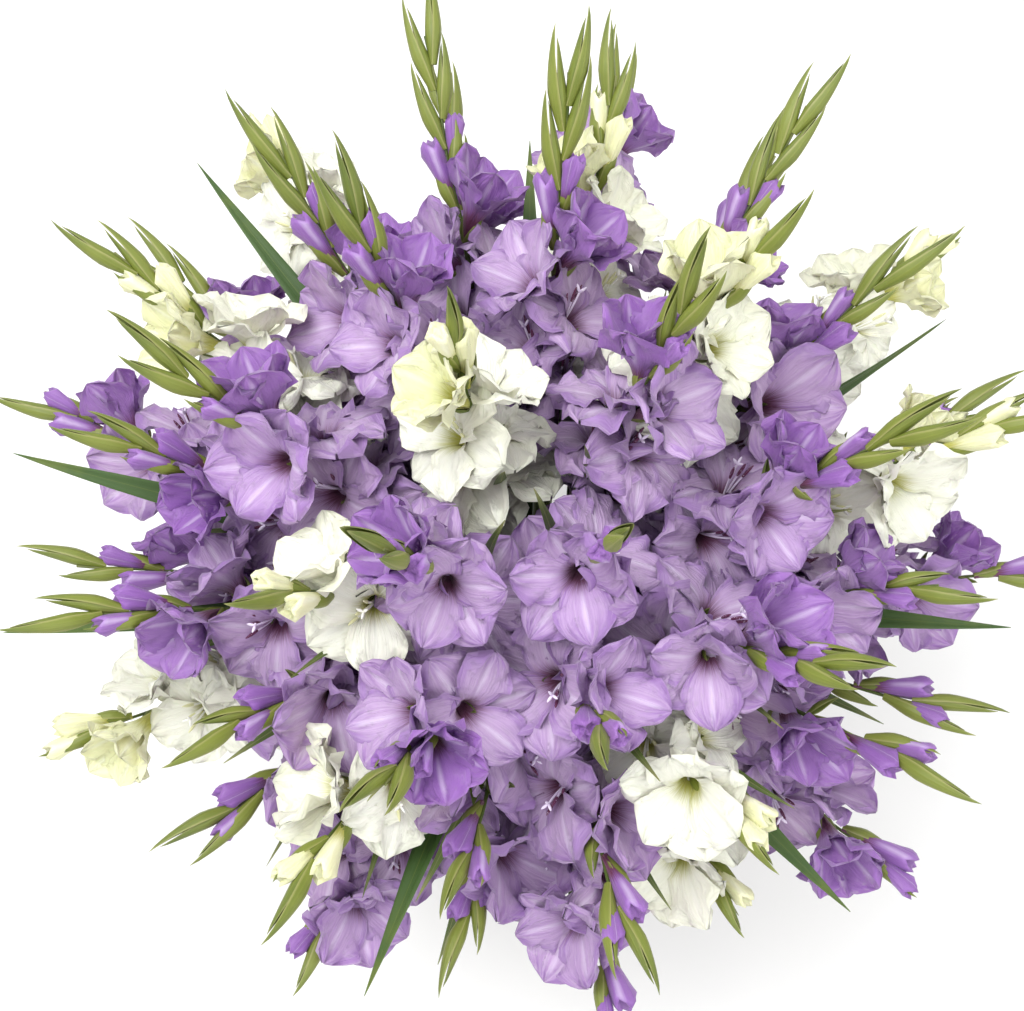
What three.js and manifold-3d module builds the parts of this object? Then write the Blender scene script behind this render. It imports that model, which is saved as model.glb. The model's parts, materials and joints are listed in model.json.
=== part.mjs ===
// A spirally hand-tied bunch of cut gladioli that stands on its splayed stem ends.
// Millimetres, +Z up, origin on the ground under the middle of the bunch's box.
import * as THREE from "three";
import { mergeVertices } from "three/addons/utils/BufferGeometryUtils.js";
import Module from "manifold-3d";

const wasm = await Module();
wasm.setup();

// Bunch
const WAIST_HEIGHT = 265; // height of the tie
const FOOT_RADIUS = 135; // circle that the outermost cut ends stand on
const CENTRE_RISE = 85; // from the tie up to the centre that all flower spikes point away from
const RIM_TILT = 77; // degrees from vertical of the outermost spikes
const SPIKE_REACH = 465; // from that centre to the tips, at the sides of the bunch
const BACK_EXTRA = 80; // longer spikes towards +Y, shorter towards -Y
const SPIRAL_TURN = 55; // degrees that the stems turn round the bunch above the tie

// Stems, flowers and leaves
const STEM_DIAMETER = 7.5;
const STEM_SIDES = 5;
const STEM_CLEARANCE = 1.6; // between neighbouring stems in the tie
const FLORET_RADIUS = 44; // mouth of the lowest open floret
const FLORET_LENGTH = 62; // from the stem to the mouth
const FLORET_SIDES = 5;
const MOUTH_DISH = 0.75; // depth of the middle of the mouth, as a share of the length
const TOP_FLORET_SIZE = 0.55; // size of the highest floret as a share of the lowest
const FORWARD_LEAN = 0.6; // how far a floret leans towards the tip, for 1 outwards
const RANK_TURN = 38; // degrees from the front of a spike to each rank of florets, when it lies flat
const UPRIGHT_TILT = 28; // degrees; a spike more upright than this faces outwards
const FLORET_COUNT = 5;
const STRAIGHT_FROM = 118; // distance from the centre at which every stem has bent into its straight head
const FIRST_FLORET = 0.11; // share of the straight head at which the lowest floret leaves the stem
const LAST_FLORET = 0.67; // the same for the highest floret
const BUD_RADIUS = 10; // thickest part of the closed bud tip
const UPPER_BUD_RADIUS = 7; // where it narrows to its point
const THICKEST_BUDS = 0.75; // share of the straight head at which the bud tip is thickest
const THIN_BUDS = 0.89; // the same for where it narrows to its point
const BEND_RISE = 0.75; // how far a stem keeps its own line above the tie, as a share of CENTRE_RISE
const BEND_PULL = 0.4; // how early it takes its head's line, as a share of STRAIGHT_FROM
const LEAF_WIDTH = 26; // at its widest, a third of the way up the blade
const UPPER_LEAF_WIDTH = 20; // where it starts to narrow to its point
const WIDEST_LEAF = 0.35; // share of the blade at which it is widest
const NARROWING_LEAF = 0.7; // share at which it starts to narrow to its point
const LEAF_THICKNESS = 3;
const LEAF_BASE_WIDTH = 7; // folded base of a leaf, inside the tie
const LEAF_SIDES = 4;
const LEAF_SHARE = 0.3; // share of the angle to a neighbouring spike that a leaf keeps
const PIECE_GAP = 0.4; // between neighbouring spikes and leaves where they press together

// Tie
const TIE_HEIGHT = 26;
const TIE_THICKNESS = 4;
const TIE_CLEARANCE = 1.5; // round the outermost stems, which cross the tie aslant
const TIE_SIDES = 20;
const KNOT_RADIUS = 9;
const KNOT_SIDES = 6;

// The spikes in rings from the rim to the middle: L is a lilac spike and W a white one, anticlockwise from +X.
const RINGS = [
  { tilt: RIM_TILT, first: 0, spikes: "LLWLLLWLLLWLLLLWLL" },
  { tilt: RIM_TILT * 0.73, first: 12, spikes: "WLLWLLWLLLWLLWLL" },
  { tilt: RIM_TILT * 0.46, first: 5, spikes: "LWLLLWLLL" },
  { tilt: RIM_TILT * 0.2, first: 40, spikes: "LWLL" },
];
const TILT_STAGGER = 2.5; // degrees, alternately out and in along a ring
const REACH_STAGGER = 18; // alternately longer and shorter along a ring

// Loose sword leaves, each given by its direction in degrees and its length as a share of the reach.
const LEAVES = [
  { azimuth: 30, tilt: 67, length: 0.95 },
  { azimuth: 90, tilt: 67, length: 0.9 },
  { azimuth: 130, tilt: 67, length: 1.05 },
  { azimuth: 170, tilt: 66, length: 1 },
  { azimuth: 190, tilt: 67, length: 0.98 },
  { azimuth: 250, tilt: 67, length: 0.85 },
  { azimuth: 310, tilt: 67, length: 0.86 },
  { azimuth: 350, tilt: 66, length: 0.9 },
];

const LILAC = { color: 0xae93d0, roughness: 0.55 };
const WHITE = { color: 0xe9eadc, roughness: 0.55 };
const LEAF_GREEN = { color: 0x4f7034, roughness: 0.5 };
const TWINE = { color: 0xb59a6a, roughness: 0.9 };

const UP = new THREE.Vector3(0, 0, 1);
const CENTRE = new THREE.Vector3(0, 0, WAIST_HEIGHT + CENTRE_RISE);
const radians = THREE.MathUtils.degToRad;

// ---------- solids ----------

// A closed three.js geometry as a manifold solid, without the triangles that collapse at its poles.
function solid(geometry) {
  const bare = geometry.clone();
  bare.deleteAttribute("normal");
  bare.deleteAttribute("uv");
  const merged = mergeVertices(bare, 1e-3);
  const indices = merged.index.array;
  const kept = [];
  for (let i = 0; i < indices.length; i += 3) {
    const [a, b, c] = indices.slice(i, i + 3);
    if (a !== b && b !== c && c !== a) kept.push(a, b, c);
  }
  return new wasm.Manifold(
    new wasm.Mesh({
      numProp: 3,
      vertProperties: merged.attributes.position.array,
      triVerts: new Uint32Array(kept),
    }),
  );
}

function meshOf(body, name, look) {
  const { vertProperties, triVerts } = body.getMesh();
  const geometry = new THREE.BufferGeometry();
  geometry.setAttribute("position", new THREE.BufferAttribute(vertProperties, 3));
  geometry.setIndex(new THREE.BufferAttribute(triVerts, 1));
  geometry.computeVertexNormals();
  const mesh = new THREE.Mesh(geometry, new THREE.MeshStandardMaterial({ ...look, metalness: 0 }));
  mesh.name = name;
  return mesh;
}

// ---------- layout ----------

function direction(azimuth, tilt) {
  const [a, t] = [radians(azimuth), radians(tilt)];
  return new THREE.Vector3(Math.sin(t) * Math.cos(a), Math.sin(t) * Math.sin(a), Math.cos(t));
}

// The point at a distance from CENTRE along a direction.
function along(way, distance) {
  return CENTRE.clone().addScaledVector(way, distance);
}

// Every member of the bunch: its name, its direction from CENTRE, its reach, and what it is.
function listMembers() {
  const spikes = RINGS.flatMap((ring) =>
    [...ring.spikes].map((colour, i) => {
      const side = i % 2 ? -1 : 1;
      const azimuth = ring.first + (360 * i) / ring.spikes.length;
      const towardsBack = direction(azimuth, ring.tilt).y;
      return {
        isLeaf: false,
        look: colour === "W" ? WHITE : LILAC,
        way: direction(azimuth, ring.tilt + side * TILT_STAGGER),
        reach: SPIKE_REACH + BACK_EXTRA * towardsBack + side * REACH_STAGGER,
      };
    }),
  );
  const leaves = LEAVES.map(({ azimuth, tilt, length }) => ({
    isLeaf: true,
    look: LEAF_GREEN,
    way: direction(azimuth, tilt),
    reach: SPIKE_REACH * length,
  }));
  const numbered = (list, word) =>
    list.forEach((member, i) => (member.name = word + String(i + 1).padStart(2, "0")));
  numbered(spikes, "gladiolus_");
  numbered(leaves, "leaf_");
  return [...spikes, ...leaves];
}

// Places of the members inside the tie: an equal-area map of their directions, eased apart until no two
// are closer than one stem and its clearance. Above the tie each turns on by SPIRAL_TURN.
function placeInTie(members) {
  const SETTLING_ROUNDS = 300;
  const pitch = STEM_DIAMETER + STEM_CLEARANCE;
  const packedRadius = (pitch / 2) * Math.sqrt(members.length);
  const rimChord = Math.sin(radians(RIM_TILT) / 2);
  for (const member of members) {
    const radius = (packedRadius * Math.sin(member.way.angleTo(UP) / 2)) / rimChord;
    const azimuth = Math.atan2(member.way.y, member.way.x) - radians(SPIRAL_TURN);
    member.inTie = new THREE.Vector2(radius * Math.cos(azimuth), radius * Math.sin(azimuth));
  }
  for (let round = 0; round < SETTLING_ROUNDS; round++)
    members.forEach((a, i) => {
      for (const b of members.slice(i + 1)) {
        const apart = a.inTie.clone().sub(b.inTie);
        const missing = pitch - apart.length();
        if (missing <= 0) continue;
        apart.setLength(missing / 2);
        a.inTie.add(apart);
        b.inTie.sub(apart);
      }
    });
}

// Centre line of a member as knots from its foot to the start of its straight head. Below the tie it is
// one straight ruling of a hyperboloid; above it bends from that line into the ray from CENTRE.
function centreLine({ inTie, way }, twist) {
  const BELOW_GROUND = 8;
  const BEND_STEPS = 4;
  const lean = new THREE.Vector3(-inTie.y * twist, inTie.x * twist, 1);
  const waist = new THREE.Vector3(inTie.x, inTie.y, WAIST_HEIGHT);
  const foot = waist.clone().addScaledVector(lean, -WAIST_HEIGHT - BELOW_GROUND);
  const bend = new THREE.CubicBezierCurve3(
    waist,
    waist.clone().addScaledVector(lean, CENTRE_RISE * BEND_RISE),
    along(way, STRAIGHT_FROM * BEND_PULL),
    along(way, STRAIGHT_FROM),
  );
  return [foot, ...bend.getPoints(BEND_STEPS)];
}

// A curve whose steps fall exactly on its knots.
class KnotCurve extends THREE.Curve {
  constructor(knots) {
    super();
    this.knots = knots;
  }
  knotAt(t) {
    return Math.round(t * (this.knots.length - 1));
  }
  getPointAt(t) {
    return this.knots[this.knotAt(t)].clone();
  }
  getTangentAt(t) {
    const i = this.knotAt(t);
    const before = this.knots[Math.max(i - 1, 0)];
    const after = this.knots[Math.min(i + 1, this.knots.length - 1)];
    return after.clone().sub(before).normalize();
  }
}

// ---------- shapes ----------

// A rod with a many-sided section, swept along knots.
function rod(knots, halfWidth, halfDepth, sides) {
  const corners = Array.from({ length: sides }, (_, i) => {
    const angle = (2 * Math.PI * i) / sides;
    return new THREE.Vector2(halfWidth * Math.cos(angle), halfDepth * Math.sin(angle));
  });
  const sweep = { extrudePath: new KnotCurve(knots), steps: knots.length - 1, bevelEnabled: false };
  return solid(new THREE.ExtrudeGeometry(new THREE.Shape(corners), sweep));
}

// A lathed shape stood on `base` along `way`, pressed flat along `front`. Its profile lists [radius, height].
function turned(profile, sides, base, way, front, flatness = 1) {
  const points = profile.map(([radius, height]) => new THREE.Vector2(radius, height));
  const geometry = new THREE.LatheGeometry(points, sides);
  geometry.scale(1, 1, flatness);
  const across = new THREE.Vector3().crossVectors(way, front);
  const place = new THREE.Matrix4().makeBasis(across, way, front).setPosition(base);
  return solid(geometry.applyMatrix4(place));
}

// The side that a spike shows its florets to: a leaning one to the sky, an upright one outwards.
function frontOf(way) {
  const leans = way.angleTo(UP) > radians(UPRIGHT_TILT);
  const aim = leans ? UP.clone() : new THREE.Vector3(way.x, way.y, 0);
  return aim.addScaledVector(way, -aim.dot(way)).normalize();
}

// Open florets in two ranks up the spike, each a dished cone that leans out and forwards. The ranks stand
// wider apart on an upright spike.
function florets({ way, reach }) {
  const front = frontOf(way);
  const rankTurn = radians(RANK_TURN) * (1 + way.z);
  const cones = [];
  for (let i = 0; i < FLORET_COUNT; i++) {
    const up = i / (FLORET_COUNT - 1);
    const size = 1 - (1 - TOP_FLORET_SIZE) * up * up;
    const share = THREE.MathUtils.lerp(FIRST_FLORET, LAST_FLORET, up);
    const at = THREE.MathUtils.lerp(STRAIGHT_FROM, reach, share);
    const out = front.clone().applyAxisAngle(way, i % 2 ? -rankTurn : rankTurn);
    const axis = out.clone().addScaledVector(way, FORWARD_LEAN).normalize();
    const back = axis.clone().cross(out).cross(axis).normalize();
    const profile = [
      [0, 0],
      [FLORET_RADIUS * size, FLORET_LENGTH * size],
      [0, FLORET_LENGTH * size * MOUTH_DISH],
    ];
    cones.push(turned(profile, FLORET_SIDES, along(way, at), axis, back));
  }
  return cones.reduce((all, cone) => all.add(cone));
}

// The upper stem with its closed buds, from the bend to the tip.
function upperSpike({ way, reach }) {
  const length = reach - STRAIGHT_FROM;
  const profile = [
    [0, 0],
    [STEM_DIAMETER / 2, 0],
    [STEM_DIAMETER / 2, length * LAST_FLORET],
    [BUD_RADIUS, length * THICKEST_BUDS],
    [UPPER_BUD_RADIUS, length * THIN_BUDS],
    [0, length],
  ];
  return turned(profile, STEM_SIDES, along(way, STRAIGHT_FROM), way, frontOf(way));
}

// The blade of a sword leaf, four-sided and pressed flat, from the bend to its point.
function leafBlade({ way, reach }) {
  const length = reach - STRAIGHT_FROM;
  const profile = [
    [0, 0],
    [LEAF_BASE_WIDTH / 2, 0],
    [LEAF_WIDTH / 2, length * WIDEST_LEAF],
    [UPPER_LEAF_WIDTH / 2, length * NARROWING_LEAF],
    [0, length],
  ];
  const flatness = LEAF_THICKNESS / LEAF_WIDTH;
  return turned(profile, LEAF_SIDES, along(way, STRAIGHT_FROM), way, frontOf(way), flatness);
}

// What is left of a head when each neighbour keeps its own share of the angle between them. The cut is a
// plane through CENTRE, nearer to a leaf than to a spike, so the gap is even from CENTRE to the tips.
function pressedBetween(body, member, members) {
  const HALF_SPACE = 2 * (SPIKE_REACH + FLORET_RADIUS);
  const REACH_OF_TOUCH = radians(30);
  for (const other of members) {
    const angle = member.way.angleTo(other.way);
    if (other === member || angle > REACH_OF_TOUCH) continue;
    let share = 0.5;
    if (member.isLeaf !== other.isLeaf) share = member.isLeaf ? LEAF_SHARE : 1 - LEAF_SHARE;
    const hinge = member.way.clone().cross(other.way).normalize();
    const border = member.way.clone().applyAxisAngle(hinge, angle * share);
    const outward = hinge.clone().cross(border);
    const block = new THREE.BoxGeometry(HALF_SPACE, HALF_SPACE, HALF_SPACE);
    const middle = CENTRE.clone().addScaledVector(outward, (HALF_SPACE - PIECE_GAP) / 2);
    block.applyMatrix4(new THREE.Matrix4().makeBasis(hinge, border, outward).setPosition(middle));
    body = body.subtract(solid(block));
  }
  return body;
}

// ---------- pieces ----------

function memberBody(member, members, twist) {
  const knots = centreLine(member, twist);
  const head = member.isLeaf ? leafBlade(member) : florets(member).add(upperSpike(member));
  const stalk = member.isLeaf
    ? rod(knots, LEAF_BASE_WIDTH / 2, LEAF_THICKNESS / 2, LEAF_SIDES)
    : rod(knots, STEM_DIAMETER / 2, STEM_DIAMETER / 2, STEM_SIDES);
  return stalk.add(pressedBetween(head, member, members)).subtract(belowGround());
}

function belowGround() {
  const SIZE = 4 * FOOT_RADIUS;
  return solid(new THREE.BoxGeometry(SIZE, SIZE, SIZE).translate(0, 0, -SIZE / 2));
}

// The wound twine round the waist, with its knot at the front.
function twineTie(waistRadius, twist) {
  const half = TIE_HEIGHT / 2;
  const widest = waistRadius * Math.hypot(1, twist * half) + STEM_DIAMETER / 2;
  const inner = (widest + TIE_CLEARANCE) / Math.cos(Math.PI / TIE_SIDES);
  const outer = inner + TIE_THICKNESS;
  const edge = half - TIE_THICKNESS / 2;
  const profile = [
    [inner, -half],
    [outer, -edge],
    [outer, edge],
    [inner, half],
    [inner, -half],
  ];
  const middle = new THREE.Vector3(0, 0, WAIST_HEIGHT);
  const frontWay = new THREE.Vector3(0, -1, 0);
  const band = turned(profile, TIE_SIDES, middle, UP, frontWay);
  const knot = new THREE.SphereGeometry(KNOT_RADIUS, KNOT_SIDES, KNOT_SIDES - 2);
  knot.translate(0, -inner - KNOT_RADIUS, WAIST_HEIGHT);
  return band.add(solid(knot));
}

const bunch = new THREE.Group();
const members = listMembers();
placeInTie(members);
const waistRadius = Math.max(...members.map((member) => member.inTie.length()));
const twist = Math.sqrt((FOOT_RADIUS / waistRadius) ** 2 - 1) / WAIST_HEIGHT;
for (const member of members)
  bunch.add(meshOf(memberBody(member, members, twist), member.name, member.look));
bunch.add(meshOf(twineTie(waistRadius, twist), "twine_tie", TWINE));

// The tie's axis stands a little off the middle, because the bunch reaches further back than forwards.
const box = new THREE.Box3().setFromObject(bunch);
bunch.position.set(-(box.min.x + box.max.x) / 2, -(box.min.y + box.max.y) / 2, 0);

export default new THREE.Group().add(bunch);
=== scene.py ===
"""Looks of a spirally hand-tied bunch of cut gladioli, built round its fixed solids."""
import json
import math

import bpy
import numpy as np
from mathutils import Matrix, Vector


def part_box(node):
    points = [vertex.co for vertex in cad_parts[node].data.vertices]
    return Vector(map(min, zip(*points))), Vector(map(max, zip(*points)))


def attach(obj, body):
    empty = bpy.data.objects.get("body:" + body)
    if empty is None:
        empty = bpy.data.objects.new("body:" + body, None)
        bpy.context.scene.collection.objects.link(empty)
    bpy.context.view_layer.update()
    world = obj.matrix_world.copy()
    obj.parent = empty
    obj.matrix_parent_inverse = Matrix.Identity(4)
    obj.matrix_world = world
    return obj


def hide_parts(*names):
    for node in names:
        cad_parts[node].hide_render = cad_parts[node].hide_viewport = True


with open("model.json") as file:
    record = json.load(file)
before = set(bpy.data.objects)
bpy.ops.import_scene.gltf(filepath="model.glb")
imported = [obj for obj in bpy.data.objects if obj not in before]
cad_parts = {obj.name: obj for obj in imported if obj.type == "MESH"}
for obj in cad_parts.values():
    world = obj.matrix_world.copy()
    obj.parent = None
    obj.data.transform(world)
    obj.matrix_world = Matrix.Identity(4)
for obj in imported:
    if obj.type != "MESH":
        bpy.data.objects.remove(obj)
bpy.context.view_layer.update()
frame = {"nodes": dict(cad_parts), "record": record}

bl_info = {
    "name": "Gladiolus Bunch",
    "version": (1, 0, 0),
    "blender": (4, 5, 0),
    "location": "View3D > Sidebar > Gladioli",
    "description": "Builds the florets, stamens, greens, leaves, tie and stage of a bunch of cut gladioli",
    "category": "Object",
}

# ---------------------------------------------------------------- layout, from the frame

TIE_NODE = "twine_tie"
CENTRE_RISE = 0.085  # from the tie up to the point that every flower spike points away from
STRAIGHT_FROM = 0.118  # distance from that point at which a stem has bent into its straight head
BEND_RISE = 0.75  # how far a stem keeps its own line above the tie, as a share of CENTRE_RISE
BEND_PULL = 0.4  # how early it takes its head's line, as a share of STRAIGHT_FROM
UPRIGHT_TILT = math.radians(28)  # a spike more upright than this shows its florets outwards
RANK_TURN = math.radians(38)  # from the front of a spike to each rank of florets, when it lies flat
UP = np.array([0.0, 0.0, 1.0])


def node_points(name):
    """The corners of a solid, each once."""
    mesh = frame["nodes"][name].data
    corners = np.empty(3 * len(mesh.vertices))
    mesh.vertices.foreach_get("co", corners)
    return np.unique(corners.reshape(-1, 3).round(6), axis=0)


def unit(vectors):
    """Vectors scaled to length one, along their last axis."""
    return vectors / np.maximum(np.linalg.norm(vectors, axis=-1, keepdims=True), 1e-12)


def square_to(vectors, ways):
    """What is left of the vectors once their share along the unit ways is taken out, at length one."""
    return unit(vectors - (vectors * ways).sum(-1, keepdims=True) * ways)


def turned(vector, axis, angle):
    """A vector square to a unit axis, turned about it by an angle."""
    return vector * np.cos(angle) + np.cross(axis, vector) * np.sin(angle)


def smooth(low, high, x):
    """A ramp from 0 at low to 1 at high with level ends: 3t squared minus 2t cubed."""
    t = np.clip((x - low) / (high - low), 0, 1)
    return t * t * (3 - 2 * t)


class Tie:
    """The axis, height and outer radius of the tie, from its solid's box."""

    low, high = (np.array(corner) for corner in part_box(TIE_NODE))
    radius = (high[0] - low[0]) / 2
    middle = np.array([(low[0] + high[0]) / 2, high[1] - radius, (low[2] + high[2]) / 2])
    height = high[2] - low[2]
    centre = middle + CENTRE_RISE * UP


class Member:
    """One spike or leaf: where its solid stands, passes the tie and ends, and which way it faces."""

    def __init__(self, name):
        points = node_points(name)
        self.name = name
        self.number = int(name.split("_")[1])
        self.foot = points[points[:, 2] < 0.0005].mean(0)
        self.waist = points[np.abs(points[:, 2] - Tie.middle[2]) < 0.005].mean(0)
        reach = points[points[:, 2] > Tie.centre[2]] - Tie.centre
        tip = reach[np.argmax(np.linalg.norm(reach, axis=1))]
        self.reach = float(np.linalg.norm(tip))
        self.way = tip / self.reach
        upright = math.acos(self.way[2]) < UPRIGHT_TILT
        aim = self.way * (1, 1, 0) if upright else UP
        self.front = square_to(aim, self.way)
        self.side = np.cross(self.way, self.front)
        self.rank_turn = RANK_TURN * (1 + self.way[2])
        self.dice = np.random.default_rng(self.number * 101 + len(name))

    def along(self, distance):
        """The point on the straight head at a distance from the centre of the bunch."""
        return Tie.centre + np.multiply.outer(np.asarray(distance, float), self.way)

    def centre_line(self, short_by, low_steps=8, bend_steps=14, head_steps=26):
        """Foot to tie on a straight line, tie to head on a cubic Bezier curve, then straight to near the
        tip, which it stays short of."""
        straight = np.linspace(self.foot, self.waist, low_steps, endpoint=False)
        lean = (self.waist - self.foot) / (self.waist - self.foot)[2]
        handles = (
            self.waist,
            self.waist + lean * CENTRE_RISE * BEND_RISE,
            self.along(STRAIGHT_FROM * BEND_PULL),
            self.along(STRAIGHT_FROM),
        )
        t = np.linspace(0, 1, bend_steps, endpoint=False)[:, None]
        weights = ((1 - t) ** 3, 3 * (1 - t) ** 2 * t, 3 * (1 - t) * t**2, t**3)
        bend = sum(weight * handle for weight, handle in zip(weights, handles))
        head = self.along(np.linspace(STRAIGHT_FROM, self.reach - short_by, head_steps))
        return np.vstack([straight, bend, head])


SLOT_OF = {row["node"]: row["material_slot"] for row in frame["record"]["subparts"]}
SPIKES = [Member(name) for name in sorted(frame["nodes"]) if name.startswith("gladiolus")]
LEAVES = [Member(name) for name in sorted(frame["nodes"]) if name.startswith("leaf")]

# ---------------------------------------------------------------- meshes


class Patchwork:
    """Closed surfaces gathered into one mesh, each with its UV map and its tone."""

    def __init__(self):
        self.points, self.maps, self.tones, self.rims, self.faces = [], [], [], [], []
        self.count = 0

    def add(self, points, uv, tone, rim, faces):
        """Takes points (n, 3), uv (n, 2), a tone and a rim mark for each point, and faces as index
        arrays of one width each. Between two rim points the surface has a sharp edge. Cut ends lie flat
        on the ground, so no point is lower than that."""
        self.points.append(np.maximum(points, (-np.inf, -np.inf, 0.0)))
        self.rims.append(np.asarray(rim, bool))
        self.maps.append(uv)
        self.tones.append(np.broadcast_to(tone, len(points)))
        self.faces += [group + self.count for group in faces]
        self.count += len(points)

    def add_sheets(self, surface, half_thickness, uv, tone):
        """Thin closed sheets. Surface (n, nu, nv, 3) is the middle; both faces leave it along its normal by
        half the thickness, which the rim has none of, so that front and back share their rim."""
        n, nu, nv, _ = surface.shape
        along, across = np.gradient(surface, axis=1), np.gradient(surface, axis=2)
        normal = unit(np.cross(along, across))
        inner = np.zeros((nu, nv), bool)
        inner[1:-1, 1:-1] = True
        rise = np.where(inner[..., None], normal * half_thickness, 0)
        top = (surface + rise).reshape(n, nu * nv, 3)
        bottom = (surface - rise).reshape(n, nu * nv, 3)[:, inner.ravel()]
        each = nu * nv + inner.sum()
        front = np.arange(nu * nv).reshape(nu, nv)
        back = front.copy()
        back[inner] = nu * nv + np.arange(inner.sum())
        quads = np.concatenate([grid_quads(front), grid_quads(back)[:, ::-1]])
        stacked = np.concatenate([top, bottom], axis=1).reshape(-1, 3)
        flat_uv = np.broadcast_to(uv, (n, nu, nv, 2)).reshape(n, nu * nv, 2)
        stacked_uv = np.concatenate([flat_uv, flat_uv[:, inner.ravel()]], axis=1).reshape(-1, 2)
        tones = np.repeat(np.broadcast_to(tone, n), each)
        starts = np.arange(n)[:, None, None] * each
        rim = np.tile(np.concatenate([~inner.ravel(), np.zeros(inner.sum(), bool)]), n)
        self.add(stacked, stacked_uv, tones, rim, [(quads + starts).reshape(-1, 4)])

    def add_tubes(self, rings, tone):
        """Closed tubes. Rings (n, nu, nv, 3) are their cross-sections in order; a flat cap closes each
        end."""
        n, nu, nv, _ = rings.shape
        index = np.arange(nu * nv).reshape(nu, nv)
        wrapped = np.concatenate([index, index[:, :1]], axis=1)
        starts = np.arange(n)[:, None, None] * nu * nv
        quads = (grid_quads(wrapped)[:, ::-1] + starts).reshape(-1, 4)
        caps = np.stack([index[0][::-1], index[-1]])
        u, v = np.meshgrid(np.linspace(0, 1, nv), np.linspace(0, 1, nu))
        uv = np.broadcast_to(np.stack([u, v], -1), (n, nu, nv, 2)).reshape(-1, 2)
        tones = np.repeat(np.broadcast_to(tone, n), nu * nv)
        rim = np.zeros((n, nu, nv), bool)
        rim[:, [0, -1]] = True
        self.add(rings.reshape(-1, 3), uv, tones, rim.ravel(), [quads, (caps + starts).reshape(-1, nv)])

    def build(self, name, material, nodes):
        """The mesh object: smooth, at the origin, riding on the root body in place of its solids."""
        widths = [group.shape[1] for group in self.faces for _ in range(len(group))]
        corners = np.concatenate([group.ravel() for group in self.faces]).astype(np.int32)
        mesh = bpy.data.meshes.new(name)
        mesh.vertices.add(self.count)
        mesh.vertices.foreach_set("co", np.concatenate(self.points).astype(np.float32).ravel())
        mesh.loops.add(len(corners))
        mesh.loops.foreach_set("vertex_index", corners)
        mesh.polygons.add(len(widths))
        starts = np.concatenate([[0], np.cumsum(widths)[:-1]]).astype(np.int32)
        mesh.polygons.foreach_set("loop_start", starts)
        mesh.polygons.foreach_set("use_smooth", np.ones(len(widths), bool))
        mesh.update(calc_edges=True)
        uv = np.concatenate(self.maps)[corners].astype(np.float32)
        mesh.uv_layers.new(name="Grain").data.foreach_set("uv", uv.ravel())
        tones = np.concatenate(self.tones).astype(np.float32)
        mesh.attributes.new("tone", "FLOAT", "POINT").data.foreach_set("value", tones)
        ends = np.empty(2 * len(mesh.edges), np.int32)
        mesh.edges.foreach_get("vertices", ends)
        sharp = np.concatenate(self.rims)[ends.reshape(-1, 2)].all(1)
        mesh.attributes.new("sharp_edge", "BOOLEAN", "EDGE").data.foreach_set("value", sharp)
        mesh.validate()
        mesh.materials.append(material)
        piece = bpy.data.objects.new(name, mesh)
        bpy.context.scene.collection.objects.link(piece)
        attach(piece, "root")
        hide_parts(*nodes)
        return piece


def grid_quads(index):
    """The quads of a grid of point numbers, facing along (first axis) x (second axis)."""
    corners = (index[:-1, :-1], index[1:, :-1], index[1:, 1:], index[:-1, 1:])
    return np.stack(corners, -1).reshape(-1, 4)


def swept_rings(path, radius, sides, side_hint):
    """Rings of a tube: circles of the given radii, square to the path, turned to keep one side in view."""
    tangent = unit(np.gradient(path, axis=0))
    side = square_to(np.broadcast_to(side_hint, path.shape), tangent)
    other = np.cross(tangent, side)
    angle = np.linspace(0, 2 * np.pi, sides, endpoint=False)[:, None]
    ring = np.cos(angle) * side[:, None] + np.sin(angle) * other[:, None]
    return path[:, None] + ring * np.reshape(radius, (-1, 1, 1))


def place(local, base, across, upward, outward):
    """Local (x, y, z) points of n shapes, in the world: base plus x, y and z along each one's own axes."""
    axes = np.stack([across, upward, outward], -2)
    return np.einsum("nuvk,nkc->nuvc", local, axes) + base[:, None, None]


# ---------------------------------------------------------------- florets

TEPAL_ROWS, TEPAL_COLUMNS = 17, 11
# Tepals round the mouth: angle, length and half-width as shares, end flare in degrees, cupping per metre,
# and whorl, 1 for an inner tepal and -1 for an outer one.
TEPALS = (
    (90, 1.04, 1.00, 70, 11, 1),
    (30, 1.00, 0.98, 86, 5, -1),
    (150, 1.00, 0.98, 86, 5, -1),
    (210, 0.97, 0.82, 86, 5, 1),
    (330, 0.97, 0.82, 86, 5, 1),
    (270, 0.97, 0.80, 98, 2, -1),
)
TEPAL_HALF_WIDTH = 0.0285
TUBE_RADIUS = 0.0010
TUBE_FLARE = math.radians(16)
TUBE_SHARE = 0.28  # share of a tepal's length that lies in the closed tube
PETAL_HALF_THICKNESS = 0.00032
RIM_WAVE = 0.0050  # height of the waves at a tepal's rim
MIDLINE_GROOVE = 0.0016
ROLL_BACK = 0.005  # how far the corners of an open tepal turn back
FIRST_FLORET_RISE = 0.034  # from the end of a stem's bend to its lowest floret
MEAN_FLORET_GAP = 0.0235  # between the florets and buds of one spike
FEWEST_FLORETS = 7  # florets and buds of the shortest spikes
LOW_SPIKE = 0.23  # a spike whose direction rises less than this lies under its neighbours
LOW_SPIKE_AHEAD = 0.2  # how much more of such a spike is open
WHITE_AHEAD = 0.12  # how much more of a white spike is open
WHITE_SIZE = 0.98  # of a white floret, beside a lilac one


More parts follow.
